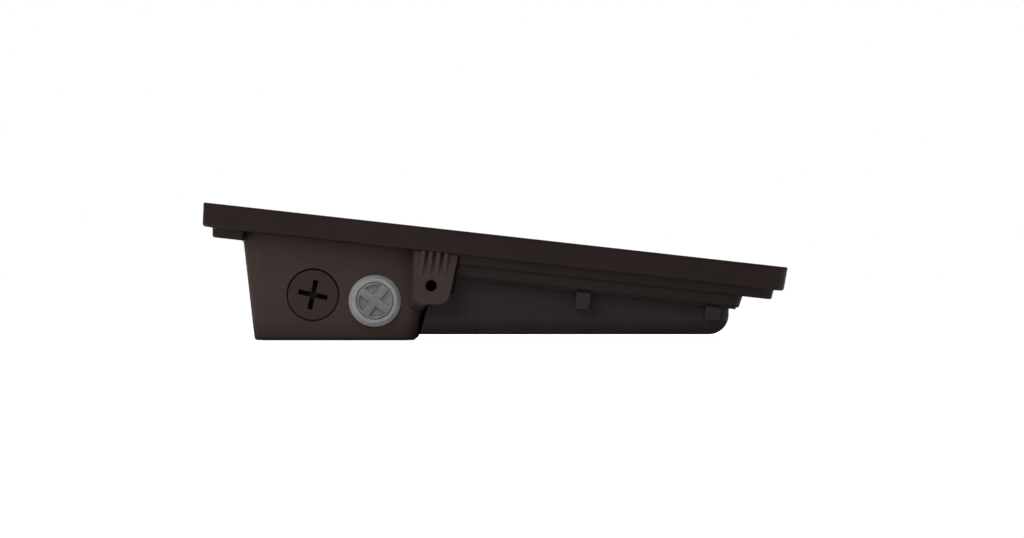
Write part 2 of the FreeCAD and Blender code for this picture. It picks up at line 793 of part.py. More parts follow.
for side in (-1, 1):
    v0 = side * hook_v - hook_w / 2
    stem = slab(hook_u, hook_u + hook_t, v0, v0 + hook_w, -2 * cover_seat, hook_low + hook_h)
    nose = slab(hook_u - hook_reach, hook_u, v0, v0 + hook_w, hook_low, hook_low + hook_h)
    root = slab(seat_left, hook_u, v0, v0 + hook_w, -2 * cover_seat, -cover_seat)
    root = on_plate(root).cut(left_space)
    cover = cover.fuse([on_plate(stem.fuse(nose)), root])
for u, v, h in lug_places:
    well_top = cover_head - h
    well = rod(cover_screw[1] + screw_slack, Vector(u, v, well_top - far), Vector(u, v, well_top))
    hole = Part.makeCylinder(cover_screw[0], far, Vector(u, v, well_top))
    cover = cover.cut([on_plate(well), on_plate(hole)])
groove_top = -cover_seat
groove_low = -cover_seat - ear_groove_len
groove_edge = [ear_side(w) + ear_groove_w for w in (groove_top, groove_low)]
groove_profile = Part.makePolygon(
    [
        Vector(ear_left, cover_half - ear_groove_deep, groove_top),
        Vector(groove_edge[0], cover_half - ear_groove_deep, groove_top),
        Vector(groove_edge[1], cover_half - ear_groove_deep, groove_low),
        Vector(ear_left, cover_half - ear_groove_deep, groove_low),
        Vector(ear_left, cover_half - ear_groove_deep, groove_top),
    ]
)
far_groove = on_plate(Part.Face(groove_profile).extrude(Vector(0, ear_groove_deep, 0)))
cover = cover.cut([far_groove, other_side(far_groove)])
cover = cover.cut(grommet_hole).removeSplitter()
save(cover, "driver_cover")
cover_gasket = rounded_block(
    seat_left + seat_gap, band_end - band_draft - band_fillet, band_half - band_draft - band_fillet,
    band_corner, -cover_seat, -pad_h - band_h,
)
cover_gasket = cover_gasket.cut(
    rounded_block(cavity_left, cavity_end, cavity_half, band_corner, -cover_seat, -pad_h - band_h)
)
for u, v, h in lug_places:
    cover_gasket = cover_gasket.cut(Part.makeCylinder(cover_screw[0], far, Vector(u, v, -far / 2)))
for side in (-1, 1):
    v0, v1 = sorted((side * (ear_inner - seat_gap), side * far))
    cover_gasket = cover_gasket.cut(slab(ear_left, ear_right + seat_gap, v0, v1, -far, far))
save(on_plate(cover_gasket), "driver_cover_gasket")
cover_screws = [
    upside(pan_screw(cover_screw, cover_screw_len), u, v, cover_head - h) for u, v, h in lug_places
]
save(Part.makeCompound([on_plate(screw) for screw in cover_screws]), "driver_cover_screws")

# Light board, chips, reflector and connector in the front chamber
board_top = floor_top + board_t
board = rounded_block(board_u0, board_u1, board_half, window_corner, floor_top, board_top)
board_holes = [Part.makeCylinder(small_screw[0], far, Vector(u, v, 0)) for u, v in board_screw_places]
board_holes.append(Part.makeCylinder(led_grommet_r + seat_gap, far, Vector(led_u, led_hole_v, 0)))
save(on_plate(board.cut(board_holes)), "led_board")
board_screws = [at(pan_screw(small_screw, small_screw_len), u, v, board_top) for u, v in board_screw_places]
save(Part.makeCompound([on_plate(screw) for screw in board_screws]), "led_board_screws")
connector_u1 = led_u - led_grommet_r - 2 * seat_gap
connector_u0 = connector_u1 - connector_l
connector = slab(
    connector_u0, connector_u1, led_hole_v - connector_w / 2, led_hole_v + connector_w / 2,
    board_top, board_top + connector_h,
)
led_lead_w = board_top + connector_h / 2
for side in (-1, 1):
    socket = Vector(connector_u1 - pole_deep, led_hole_v + side * led_lead_gap, led_lead_w)
    connector = connector.cut(Part.makeCylinder(led_lead_r, pole_deep, socket, Vector(1, 0, 0)))
save(on_plate(connector), "led_connector")
keep_out = connector_l + led_grommet_r + chip_size
chip_pitch_u = (board_u1 - board_u0) / chip_columns
chip_pitch_v = 2 * board_half / chip_rows
chips = []
for i in range(chip_columns):
    for j in range(chip_rows):
        u = board_u0 + (i + 0.5) * chip_pitch_u
        v = (j + 0.5) * chip_pitch_v - board_half
        near_screw = min(math.hypot(u - a, v - b) for a, b in board_screw_places)
        if math.hypot(u - led_u, v - led_hole_v) > keep_out and near_screw > small_screw[1] + chip_size:
            half = chip_size / 2
            chip = slab(u - half, u + half, v - half, v + half, board_top, board_top + chip_h)
            chips.append(on_plate(chip))
save(Part.makeCompound(chips), "led_chips")
reflector_top = lens_seat + lens_gasket_t - seat_gap
reflector = rim_block(window_inset + seat_gap, window_corner - seat_gap, floor_top, reflector_top)
well_low = rounded_wire(
    board_u0 - seat_gap, board_u1 + seat_gap, board_half + seat_gap, window_corner, floor_top
)
lip_inset = window_inset + reflector_lip
well_top = rounded_wire(
    lip_inset - rim_left, rim_right - lip_inset, rim_half - lip_inset, window_corner, reflector_top
)
save(on_plate(reflector.cut(Part.makeLoft([well_low, well_top], True, True))), "reflector")

# Lens, gasket, retainer and screws on the front
lens_edge = lens_inset + seat_gap
lens_corner = window_corner + window_inset - lens_edge
lens_low = lens_seat + lens_gasket_t
save(on_plate(rim_block(lens_edge, lens_corner, lens_low, retainer_seat)), "lens")
lens_gasket = rim_block(lens_edge, lens_corner, lens_seat, lens_low)
lens_gasket = lens_gasket.cut(rim_block(window_inset, window_corner, lens_seat, lens_low))
save(on_plate(lens_gasket), "lens_gasket")
retainer_edge = retainer_inset + seat_gap
retainer = rim_block(retainer_edge, window_corner + window_inset - retainer_edge, retainer_seat, rim_h)
retainer = retainer.cut(rim_block(window_inset, window_corner, retainer_seat, rim_h))
retainer = retainer.cut([at(flat_hole(small_screw, far / 2), u, v, rim_h) for u, v in retainer_screw_places])
save(on_plate(retainer), "lens_retainer")
front_screws = [at(flat_screw(small_screw, small_screw_len), u, v, rim_h) for u, v in retainer_screw_places]
save(Part.makeCompound([on_plate(screw) for screw in front_screws]), "lens_retainer_screws")

# Driver under the chamber floor
driver = rounded_block(driver_u0, driver_u1, driver_half, driver_corner, -pad_h - driver_h, -pad_h)
tab_half = driver_half + tab_len
tabs = rounded_block(
    driver_mid - tab_len, driver_mid + tab_len, tab_half, driver_corner, -pad_h - tab_t, -pad_h
)
driver = driver.fuse(tabs)
driver = driver.cut(
    [Part.makeCylinder(small_screw[0], far, Vector(u, v, -far / 2)) for u, v in driver_screw_places]
)
driver_lead_w = -pad_h - driver_h / 2
line_v = [driver_lead_v, -driver_lead_v]
for v in line_v:
    driver = driver.cut(
        Part.makeCylinder(lead_r, pole_deep, Vector(driver_u0, v, driver_lead_w), Vector(1, 0, 0))
    )
for side in (-1, 1):
    driver = driver.cut(
        Part.makeCylinder(
            led_lead_r,
            pole_deep,
            Vector(driver_u0, led_hole_v + side * led_lead_gap, driver_lead_w),
            Vector(1, 0, 0),
        )
    )
save(on_plate(driver.removeSplitter()), "led_driver")
driver_screws = [
    upside(pan_screw(small_screw, small_screw_len), u, v, -pad_h - tab_t) for u, v in driver_screw_places
]
save(Part.makeCompound([on_plate(screw) for screw in driver_screws]), "led_driver_screws")

# Terminal block in the wiring box
block = rounded_block(block_left, block_right, block_half, driver_corner, -pad_h - block_h, -pad_h)
block_feet = rounded_block(
    block_mid - block_tab, block_mid + block_tab, block_half + block_tab, driver_corner,
    -pad_h - block_tab_t, -pad_h,
)
block = block.fuse(block_feet)
poles = [i * pole_pitch for i in range(-2, 3)]
for v in poles:
    entry = Part.makeCylinder(lead_r, pole_deep, Vector(block_right, v, pole_w), Vector(-1, 0, 0))
    clamp = Part.makeCylinder(2 * lead_r, pole_deep / 2, Vector(block_mid, v, -pad_h - block_h))
    block = block.cut([entry, clamp])
block = block.cut(
    [Part.makeCylinder(small_screw[0], far, Vector(u, v, -far / 2)) for u, v in block_screw_places]
)
save(on_plate(block.removeSplitter()), "terminal_block")
block_screws = [
    upside(pan_screw(small_screw, small_screw_len), u, v, -pad_h - block_tab_t) for u, v in block_screw_places
]
save(Part.makeCompound([on_plate(screw) for screw in block_screws]), "terminal_block_screws")

# Grommets where leads pass from driver cover to box and through the chamber floor
box_side = wall_shift / 2 * math.cos(math.radians(box_lean_right))
sleeve_low = -box_side - box_wall * math.cos(math.radians(box_lean_right)) - grommet_lip_t
sleeve_high = box_side + cover_wall + grommet_lip_t
sleeve_start = grommet_mid + lean_dir * sleeve_low
sleeve_end = grommet_mid + lean_dir * sleeve_high
sleeve = rod(grommet_r, sleeve_start, sleeve_end)
lips = [
    rod(grommet_r + grommet_lip, sleeve_start, sleeve_start + lean_dir * grommet_lip_t),
    rod(grommet_r + grommet_lip, sleeve_end - lean_dir * grommet_lip_t, sleeve_end),
]
sleeve = sleeve.fuse(lips).cut(rod(grommet_bore, sleeve_start, sleeve_end))
save(sleeve.removeSplitter(), "wire_grommet")
floor_bush = Part.makeCylinder(led_grommet_r, pad_h + board_top, Vector(led_u, led_hole_v, -pad_h))
floor_bush = floor_bush.cut(
    [
        Part.makeCylinder(led_lead_r, far, Vector(led_u, led_hole_v + side * led_lead_gap, -far / 2))
        for side in (-1, 1)
    ]
)
save(on_plate(floor_bush), "led_lead_grommet")

# Leads
lead_names = ["line_lead", "neutral_lead"]
for name, v, pole, side in zip(lead_names, line_v, (poles[3], poles[2]), (1, -1)):
    through = Vector(0, side * lead_spread, 0)
    points = [
        plate_point(driver_u0 + pole_deep, v, driver_lead_w),
        plate_point(driver_u0 - 3 * lead_bend, v, driver_lead_w),
        grommet_mid + lean_dir * 3 * lead_bend + through,
        grommet_mid - lean_dir * 3 * lead_bend + through,
        plate_point(block_right + 2 * lead_bend, pole, pole_w),
        plate_point(block_right - pole_deep, pole, pole_w),
    ]
    save(lead(points, lead_r, lead_bend), name)
ground_w = -pad_h - lead_r
ground_past = cover_screw[0] + lead_r
points = [
    plate_point(ground_u - ground_past, ground_v + 3 * lead_r, ground_w),
    plate_point(ground_u - ground_past, ground_v - 3 * lead_bend, ground_w),
    plate_point(block_right + 2 * lead_bend, poles[4], pole_w),
    plate_point(block_right - pole_deep, poles[4], pole_w),
]
save(lead(points, lead_r, lead_bend), "ground_lead")
ground = upside(pan_screw(cover_screw, small_screw_len), ground_u, ground_v, -pad_h - 2 * lead_r)
save(on_plate(ground), "ground_screw")
for name, side in (("led_lead_positive", 1), ("led_lead_negative", -1)):
    v = led_hole_v + side * led_lead_gap
    points = [
        plate_point(driver_u0 + pole_deep, v, driver_lead_w),
        plate_point(led_u, v, driver_lead_w),
        plate_point(led_u, v, led_lead_w),
        plate_point(connector_u1 - pole_deep, v, led_lead_w),
    ]
    save(lead(points, led_lead_r, 2 * led_lead_r), name)

# Photocell behind its cap
sensor_y = -sensor_face
sensor_axis = Vector(0, 1, 0)
sensor_front = Vector(photocell_x, sensor_y - sensor_len / 2, photocell_z)
sensor_back = Vector(photocell_x, sensor_y + sensor_len / 2, photocell_z)
sensor = rod(sensor_r, sensor_front, sensor_back)
sensor = sensor.fuse(
    Part.makeCylinder(
        sensor_flange_r, sensor_flange_t, Vector(photocell_x, sensor_y, photocell_z), sensor_axis
    )
)
ledge_top = pocket_top + ledge_t
sensor = sensor.cut(slab(-far, far, -far, far, -far, ledge_top + seat_gap))
sensor = sensor.cut(sensor_screw_holes)
sensor_lead_x = [photocell_x + side * sensor_r / 2 for side in (-1, 1)]
for x in sensor_lead_x:
    sensor = sensor.cut(
        Part.makeCylinder(lead_r, pole_deep, Vector(x, sensor_back.y, photocell_z), Vector(0, -1, 0))
    )
save(sensor.removeSplitter(), "photocell_sensor")
sensor_screws = []
for x, z in sensor_screw_places:
    screw = pan_screw(small_screw, small_screw_len)
    screw.Placement = Placement(
        Vector(x, sensor_y + sensor_flange_t, z), Rotation(Vector(0, 0, 1), Vector(0, 1, 0))
    )
    sensor_screws.append(screw)
save(Part.makeCompound(sensor_screws), "photocell_screws")
sensor_lead_names = ["photocell_lead_line", "photocell_lead_load"]
for name, x, pole in zip(sensor_lead_names, sensor_lead_x, (poles[1], poles[0])):
    points = [
        Vector(x, sensor_back.y - pole_deep, photocell_z),
        Vector(x, sensor_back.y + 3 * lead_bend, photocell_z),
        plate_point(block_right + 2 * lead_bend, pole, pole_w),
        plate_point(block_right - pole_deep, pole, pole_w),
    ]
    save(lead(points, lead_r, lead_bend), name)


def screw_in(radius, thickness, hollow_r):
    # Round head with a hollow threaded shank, face up at Z = thickness and seat at Z = 0
    head = Part.makeCylinder(radius, thickness)
    shank = Part.makeCylinder(thread_r - thread_fit, plug_len, Vector(0, 0, -plug_len))
    hollow_top = thickness - plug_cap_t
    hollow = Part.makeCylinder(hollow_r, plug_len + hollow_top, Vector(0, 0, -plug_len))
    return head.fuse(shank).removeSplitter().cut(hollow)


def bar(length, width, z0, z1, turn):
    piece = slab(-length / 2, length / 2, -width / 2, width / 2, z0, z1)
    piece.rotate(Vector(0, 0, 0), Vector(0, 0, 1), turn)
    return piece


def into_wall(shape, x, z, side):
    # Turns a plug or its seal to face out of a side wall, seat at the floor of its well
    face = side * (wall_half(z) - head_t)
    turn = Rotation(Vector(1, 0, 0), 90)
    if side > 0:
        turn = Rotation(Vector(0, 0, 1), 180).multiply(turn)
    shape.Placement = Placement(Vector(x, face, z), turn).multiply(shape.Placement)
    return shape


# Conduit plugs, photocell cap and their seals: these screw out of the side walls
plug = screw_in(head_r, head_t, plug_hollow_r)
plug = plug.makeChamfer(head_edge, edges_at(plug, head_t))
for turn in (-slot_turn, 90 - slot_turn):
    plug = plug.cut(bar(slot_len, slot_w, head_t - slot_deep, head_t, turn))
seal_ring = Part.makeCylinder(head_r - seal_edge, plug_seal_t, Vector(0, 0, -plug_seal_t))
seal_ring = seal_ring.cut(Part.makeCylinder(thread_r, plug_seal_t, Vector(0, 0, -plug_seal_t)))
cap_face = head_t + cap_proud
cap = screw_in(cap_r, cap_face, cap_hollow_r)
cap = cap.makeChamfer(cap_bevel, edges_at(cap, cap_face))
groove_floor = Vector(0, 0, cap_face - cap_groove_deep)
groove = Part.makeCylinder(cap_groove_r + cap_groove_w / 2, cap_groove_deep, groove_floor)
groove = groove.cut(Part.makeCylinder(cap_groove_r - cap_groove_w / 2, far))
pockets = Part.makeCylinder(cap_disc_r, cap_pocket_deep, Vector(0, 0, cap_face - cap_pocket_deep))
for turn in (cap_turn, cap_turn - 90):
    pockets = pockets.cut(bar(2 * cap_r, cap_arm_w, 0, far, turn))
cap = cap.cut([groove, pockets])
save(into_wall(plug.copy(), plug_x, plug_z, -1), "near_conduit_plug")
save(into_wall(seal_ring.copy(), plug_x, plug_z, -1), "near_plug_seal")
save(into_wall(plug.copy(), plug_x, plug_z, 1), "far_conduit_plug")
save(into_wall(seal_ring.copy(), plug_x, plug_z, 1), "far_plug_seal")
save(into_wall(cap, photocell_x, photocell_z, -1), "photocell_cap")
save(into_wall(seal_ring, photocell_x, photocell_z, -1), "photocell_cap_seal")
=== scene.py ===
import bpy
import math
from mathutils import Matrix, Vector


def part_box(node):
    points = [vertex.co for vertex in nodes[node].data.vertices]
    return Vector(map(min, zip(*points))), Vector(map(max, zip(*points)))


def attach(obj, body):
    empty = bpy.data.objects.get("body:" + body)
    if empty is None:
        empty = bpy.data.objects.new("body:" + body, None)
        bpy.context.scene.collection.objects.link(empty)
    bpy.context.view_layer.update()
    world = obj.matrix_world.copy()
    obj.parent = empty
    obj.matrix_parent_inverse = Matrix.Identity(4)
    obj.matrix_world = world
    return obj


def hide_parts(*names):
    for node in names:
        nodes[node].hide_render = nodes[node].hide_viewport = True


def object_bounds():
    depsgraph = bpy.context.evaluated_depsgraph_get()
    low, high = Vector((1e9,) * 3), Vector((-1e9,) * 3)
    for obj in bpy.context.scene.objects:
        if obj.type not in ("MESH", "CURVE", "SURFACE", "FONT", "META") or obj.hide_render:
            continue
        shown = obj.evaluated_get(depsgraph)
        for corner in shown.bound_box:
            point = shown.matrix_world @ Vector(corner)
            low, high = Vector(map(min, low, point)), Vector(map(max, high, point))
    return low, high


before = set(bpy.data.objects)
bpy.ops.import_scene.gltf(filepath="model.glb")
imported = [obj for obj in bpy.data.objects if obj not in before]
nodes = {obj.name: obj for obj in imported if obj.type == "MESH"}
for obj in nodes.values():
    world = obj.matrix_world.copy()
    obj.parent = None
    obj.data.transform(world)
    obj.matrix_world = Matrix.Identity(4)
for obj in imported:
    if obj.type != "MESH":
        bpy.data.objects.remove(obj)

cad_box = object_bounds()
scene = bpy.context.scene


# Front frame: one aluminium die casting with the rim, the stepped underside and the seat of the
# driver cover. It is blasted and finished in a dark bronze satin powder coat, which leaves a fine
# orange peel and flows round over the edges; its corners get painted shade.
class Socket:
    def __init__(self, tree, socket):
        self.tree = tree
        self.socket = socket

    def make(self, kind, settings, sockets, output=0):
        node = self.tree.nodes.new(kind)
        for name, value in settings.items():
            setattr(node, name, value)
        for name, value in sockets.items():
            if isinstance(value, Socket):
                self.tree.links.new(value.socket, node.inputs[name])
            else:
                node.inputs[name].default_value = value
        return Socket(self.tree, node.outputs[output])

    def math(self, operation, first, second=0.0):
        return self.make("ShaderNodeMath", {"operation": operation}, {0: first, 1: second})

    def __add__(self, other):
        return self.math("ADD", self, other)

    def __radd__(self, other):
        return self.math("ADD", other, self)

    def __sub__(self, other):
        return self.math("SUBTRACT", self, other)

    def __rsub__(self, other):
        return self.math("SUBTRACT", other, self)

    def __mul__(self, other):
        return self.math("MULTIPLY", self, other)

    def __rmul__(self, other):
        return self.math("MULTIPLY", other, self)

    def mapped(self, turn=(0, 0, 0), scale=(1, 1, 1), shift=(0, 0, 0)):
        # The same places read along other axes or from another centre
        sockets = {"Vector": self, "Rotation": turn, "Scale": scale, "Location": shift}
        return self.make("ShaderNodeMapping", {}, sockets)

    def along(self, direction):
        # How far a place lies along a direction
        dot = {"operation": "DOT_PRODUCT"}
        return self.make("ShaderNodeVectorMath", dot, {0: self, 1: direction}, "Value")

    def noise(self, size, detail=2.0):
        sockets = {"Vector": self, "Scale": 1 / size, "Detail": detail}
        return self.make("ShaderNodeTexNoise", {}, sockets)

    def blend(self, first, second):
        # self is the share of the second colour; 6, 7 and 2 are the Mix node's colour sockets
        first, second = [c + (1,) if isinstance(c, tuple) else c for c in (first, second)]
        return self.make("ShaderNodeMix", {"data_type": "RGBA"}, {0: self, 6: first, 7: second}, 2)

    def ramp(self, low, high):
        # 0 below low, 1 above high
        smooth = {"interpolation_type": "SMOOTHSTEP"}
        sockets = {"Value": self, "From Min": low, "From Max": high}
        return self.make("ShaderNodeMapRange", smooth, sockets)

    def spread(self):
        # Noise keeps near its middle, so this draws it out to run from 0 to 1
        return self.ramp(0.3, 0.7)

    def bump(self, height, strength, **under):
        # height is the full swing of self in metres, under is the Normal that it lies on
        sockets = {"Height": self, "Distance": height, "Strength": strength, **under}
        return self.make("ShaderNodeBump", {}, sockets)


def new_finish(name, **constants):
    finish = bpy.data.materials.new(name)
    finish.use_nodes = True
    shader = finish.node_tree.nodes["Principled BSDF"]
    for socket, value in constants.items():
        shader.inputs[socket.replace("_", " ")].default_value = value
    coordinates = finish.node_tree.nodes.new("ShaderNodeTexCoord")
    return finish, Socket(finish.node_tree, coordinates.outputs["Object"]), shader


def feed(shader, **sockets):
    for name, value in sockets.items():
        value.tree.links.new(value.socket, shader.inputs[name.replace("_", " ")])


def dress(finish, *names):
    for name in names:
        for slot in nodes[name].material_slots:
            slot.material = finish


def powder_coat(name, dark, light, rough, edge, reach=0.0015, depth=0.55):
    # edge is the radius that the coat gives an edge, reach is how far painted shade spreads from
    # corners and from parts close by, and depth is the share of the dark tone that is left in that
    # shade
    finish, place, shader = new_finish(name, Specular_IOR_Level=0.2)
    cloud = place.noise(size=0.05, detail=3.0)
    grain = place.noise(size=0.0004)
    peel = place.noise(size=0.0016, detail=1.0)
    rounded = place.make("ShaderNodeBevel", {"samples": 6}, {"Radius": edge})
    # Ambient occlusion paints shade into the coat's colour in corners, recesses and under parts
    # close by
    corner = place.make("ShaderNodeAmbientOcclusion", {"samples": 8}, {"Distance": reach}, "AO")
    unshaded = corner.ramp(0.2, 0.8)
    tone = cloud.spread() * 0.6 + grain.ramp(0.35, 0.7) * 0.4
    deep = tuple(depth * c for c in dark)
    fine = grain.bump(height=0.00004, strength=0.4, Normal=rounded)
    feed(
        shader,
        Base_Color=unshaded.blend(deep, tone.blend(dark, light)),
        Roughness=rough + 0.08 * cloud + 0.06 * grain + 0.5 * (1 - unshaded),
        Normal=peel.bump(height=0.00006, strength=0.25, Normal=fine),
    )
    return finish


bronze_coat = powder_coat(
    "bronze_coat",
    dark=(0.0250, 0.0149, 0.0129),
    light=(0.0350, 0.0215, 0.0188),
    rough=0.30,
    edge=0.0020,
)
dress(bronze_coat, "front_frame")


# Wiring box: an aluminium die casting with drafted walls, round corners and two ribbed ears. Its
# coat is the frame's bronze, painted lighter for the light on its wall and painted darker up under
# the rim for the rim's shadow. It closes against the frame on a cut rubber gasket, which four pan
# head screws through its flange press flat.
def moulded(name, dark, light, grain, rough):
    # Plastic or rubber out of a spark-eroded mould: two close tones and a fine even grain
    finish, place, shader = new_finish(name)
    cloud = place.noise(size=0.012, detail=3.0)
    spark = place.noise(size=grain)
    tone = cloud.spread() * 0.6 + spark.spread() * 0.4
    feed(
        shader,
        Base_Color=tone.blend(dark, light),
        Roughness=rough + 0.1 * spark,
        Normal=spark.bump(height=grain / 8, strength=0.3),
    )
    return finish


def plated(name, dark, light, rough, stretch):
    # Rolled or turned metal with a bright film: fine lines, drawn out by stretch, and soft clouds
    finish, place, shader = new_finish(name, Metallic=1.0)
    line = place.mapped(scale=stretch).noise(size=0.0005, detail=3.0)
    cloud = place.noise(size=0.006, detail=3.0)
    tone = line.spread() * 0.5 + cloud.spread() * 0.5
    feed(
        shader,
        Base_Color=tone.blend(dark, light),
        Roughness=rough + 0.12 * cloud + 0.08 * line,
        Normal=line.bump(height=0.00003, strength=0.3),
    )
    return finish


# A lit copy of the bronze coat: the lighter tones are painted light, and the wide reach paints the
# rim's shadow onto the top of the wall
lit_box_coat = powder_coat(
    "lit_box_coat",
    dark=(0.0653, 0.0437, 0.0372),
    light=(0.0809, 0.0555, 0.0470),
    rough=0.34,
    edge=0.0006,
    reach=0.02,
)
dress(lit_box_coat, "wiring_box")
seal_rubber = moulded(
    "seal_rubber", (0.012, 0.012, 0.012), (0.022, 0.022, 0.021), grain=0.0006, rough=0.62
)
dress(seal_rubber, "wiring_box_gasket")
screw_steel = plated(
    "screw_steel", (0.42, 0.42, 0.43), (0.62, 0.61, 0.60), rough=0.28, stretch=(0.2, 1, 1)
)
dress(screw_steel, "wiring_box_screws")

# Terminal block and its leads: a white moulded block with five poles, screwed to the frame inside
# the box, copper wires in coloured insulation, and a green ground screw into the casting.
moulding_white = moulded(
    "moulding_white", (0.70, 0.70, 0.66), (0.80, 0.80, 0.77), grain=0.0008, rough=0.42
)
dress(moulding_white, "terminal_block")
dress(screw_steel, "terminal_block_screws")
ground_green = moulded(
    "ground_green", (0.03, 0.24, 0.09), (0.05, 0.33, 0.13), grain=0.0008, rough=0.35
)
dress(ground_green, "ground_screw")
black_leads = ("line_lead", "photocell_lead_line", "led_lead_negative")
red_leads = ("photocell_lead_load", "led_lead_positive")
for colour, dark, light, leads in (
    ("black", (0.018, 0.018, 0.018), (0.030, 0.030, 0.030), black_leads),
    ("white", (0.72, 0.72, 0.69), (0.82, 0.82, 0.80), ("neutral_lead",)),
    ("green", (0.05, 0.30, 0.11), (0.08, 0.40, 0.16), ("ground_lead",)),
    ("red", (0.42, 0.035, 0.03), (0.55, 0.06, 0.05), red_leads),
):
    dress(moulded("lead_" + colour, dark, light, grain=0.0005, rough=0.4), *leads)

# Photocell sensor: a dark moulded eye that tells day from night. It looks out through the
# translucent cap from the inside of the box wall and is held by two small screws.
sensor_plastic = moulded(
    "sensor_plastic", (0.020, 0.020, 0.022), (0.032, 0.032, 0.034), grain=0.0006, rough=0.38
)
dress(sensor_plastic, "photocell_sensor")
dress(screw_steel, "photocell_screws")


# Back plate: zinc plated sheet steel let into the foot of the box, with the wire hole and the two
# outlet box holes. It lies on a rubber seal and is held by four flat head screws, each with a cross
# recess.
def pick_only(piece):
    bpy.ops.object.select_all(action="DESELECT")
    bpy.context.view_layer.objects.active = piece
    piece.select_set(True)


def pick_points(piece, wanted):
    # Opens the active piece with only the wanted points picked
    bpy.ops.object.mode_set(mode="EDIT")
    bpy.ops.mesh.select_mode(type="VERT")
    bpy.ops.mesh.select_all(action="DESELECT")
    bpy.ops.object.mode_set(mode="OBJECT")
    for vertex in piece.data.vertices:
        vertex.select = wanted(vertex.co)
    bpy.ops.object.mode_set(mode="EDIT")


def weld_points():
    # Joins the points of the open piece that lie on one another
    bpy.ops.mesh.select_all(action="SELECT")
    bpy.ops.mesh.remove_doubles(threshold=0.000001)


def merged_copy(node, name):
    # A node's mesh as a piece of its own, with its loose triangles joined up
    piece = bpy.data.objects.new(name, nodes[node].data.copy())
    scene.collection.objects.link(piece)
    pick_only(piece)
    bpy.ops.mesh.customdata_custom_splitnormals_clear()
    bpy.ops.object.mode_set(mode="EDIT")
    weld_points()
    bpy.ops.object.mode_set(mode="OBJECT")
    return piece


def separate_solids(node, reach):
    # The points of a node's separate solids, told apart by their distance from each one's first
    groups = []
    for vertex in nodes[node].data.vertices:
        for group in groups:
            if (vertex.co - group[0]).length < reach:
                group.append(vertex.co.copy())
                break
        else:
            groups.append([vertex.co.copy()])
    return groups


def end_centre(points, facing):
    # Middle of a round or square solid's end on the side that it faces
    side = Vector((0, 1, 0))
    centre = facing * max(p.dot(facing) for p in points)
    for axis in (side, facing.cross(side)):
        reaches = [p.dot(axis) for p in points]
        centre = centre + axis * (min(reaches) + max(reaches)) / 2
    return centre


def turn_to(facing):
    # The turn that brings a piece modelled facing up to face another way
    return Vector((0, 0, 1)).rotation_difference(facing).to_euler()


def copies_at(piece, places, facing):
    # Copies of a piece that was modelled at the origin facing up, joined in one mesh
    copies = []
    for place in places:
        pick_only(piece)
        bpy.ops.object.duplicate()
        copy = bpy.context.object
        copy.rotation_euler = turn_to(facing)
        copy.location = place
        copies.append(copy)
    bpy.data.objects.remove(piece)
    bpy.ops.object.select_all(action="DESELECT")
    for copy in copies:
        copy.select_set(True)
    bpy.context.view_layer.objects.active = copies[0]
    bpy.ops.object.join()
    bpy.ops.object.transform_apply()
    return bpy.context.object


def finish_piece(piece, finish, sharp):
    # One finish all over, and smooth shading up to the sharp angle
    piece.data.materials.clear()
    piece.data.materials.append(finish)
    pick_only(piece)
    bpy.ops.object.shade_smooth_by_angle(angle=math.radians(sharp))


def recessed_screws(node, name, facing, cross, deep):
    # The node's screws with a cross recess of that width and depth pressed into each head
    # Points farther apart than this belong to two screws
    screw_reach = 0.014
    # Thickness of the recess's arms, and the shares of their length and thickness at the bottom
    blade_t = cross / 4
    narrowing = (0.4, 0.6, 1)
    # The cutter stands off the head by a hair, so that no face of it lies in a face of the screw
    hair = 0.00003
    piece = merged_copy(node, name)
    bpy.ops.object.select_all(action="DESELECT")
    bpy.ops.mesh.primitive_cube_add(size=1, scale=(cross, blade_t, 2 * deep))
    blade = bpy.context.object
    bpy.ops.object.transform_apply()
    bpy.ops.object.mode_set(mode="EDIT")
    bpy.ops.mesh.select_all(action="SELECT")
    bpy.ops.mesh.bisect(plane_co=(0, 0, 0), plane_no=(0, 0, 1))
    bpy.ops.object.mode_set(mode="OBJECT")
    pick_points(blade, lambda point: point.z < -deep / 2)
    bpy.ops.transform.resize(value=narrowing, center_override=(0, 0, 0))
    bpy.ops.object.mode_set(mode="OBJECT")
    screws = separate_solids(node, screw_reach)
    places = [end_centre(points, facing) + facing * hair for points in screws]
    for turn in (0, 90):
        pick_only(blade)
        bpy.ops.object.duplicate()
        bpy.context.object.rotation_euler = (0, 0, math.radians(turn))
        bpy.ops.object.transform_apply()
        cutter = copies_at(bpy.context.object, places, facing)
        bpy.context.view_layer.objects.active = piece
        recess = piece.modifiers.new("recess", "BOOLEAN")
        recess.operation = "DIFFERENCE"
        recess.object = cutter
        bpy.ops.object.modifier_apply(modifier="recess")
        bpy.data.objects.remove(cutter)
    bpy.data.objects.remove(blade)
    finish_piece(piece, screw_steel, sharp=35)
    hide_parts(node)
    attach(piece, "housing")


zinc_plate = plated(
    "zinc_plate", (0.40, 0.41, 0.43), (0.56, 0.56, 0.56), rough=0.34, stretch=(1, 0.03, 1)
)
dress(zinc_plate, "back_plate")
dress(seal_rubber, "back_plate_seal")
wall_way = Vector((0, 0, -1))
recessed_screws(
    "back_plate_screws", "back_plate_cross_screws", wall_way, cross=0.0046, deep=0.0013
)

# LED driver: a potted driver in a folded aluminium case, screwed by its two tabs to the back of the
# frame under the cover. Its leads reach the box and the light board through rubber grommets.
driver_case = plated(
    "driver_case", (0.50, 0.51, 0.52), (0.64, 0.64, 0.64), rough=0.36, stretch=(0.04, 1, 1)
)
dress(driver_case, "led_driver")
dress(screw_steel, "led_driver_screws")
dress(seal_rubber, "wire_grommet", "led_lead_grommet")

